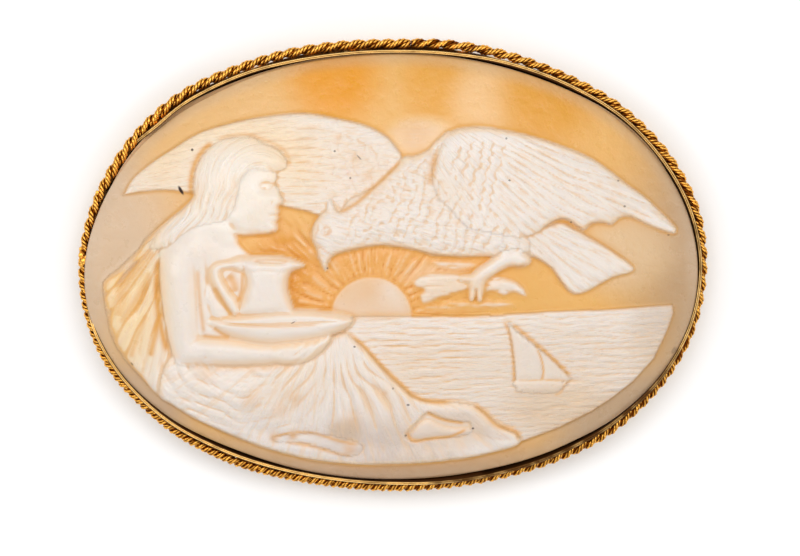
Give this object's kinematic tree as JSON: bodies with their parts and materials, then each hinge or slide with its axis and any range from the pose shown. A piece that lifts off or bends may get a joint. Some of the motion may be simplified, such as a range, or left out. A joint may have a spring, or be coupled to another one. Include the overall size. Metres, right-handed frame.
{
  "type": "cameo brooch",
  "caption": "Oval brooch: a domed shell carved in raised relief with a seated cup bearer, an eagle, a rising sun and the sea, in a gold setting with a twisted rope border.",
  "frame": {"origin": "middle of the back, on the surface that the brooch lies on face up", "axes": "+X along the oval's length, to the picture's right, +Y to the top of the picture, +Z out of the face"},
  "size_m": [0.06, 0.0436, 0.0104],
  "materials": {
    "shell": "polished",
    "gold": "polished"
  },
  "bodies": {
    "root": {"cameo": "shell", "setting": "gold", "pin": "gold"}
  },
  "joints": []
}
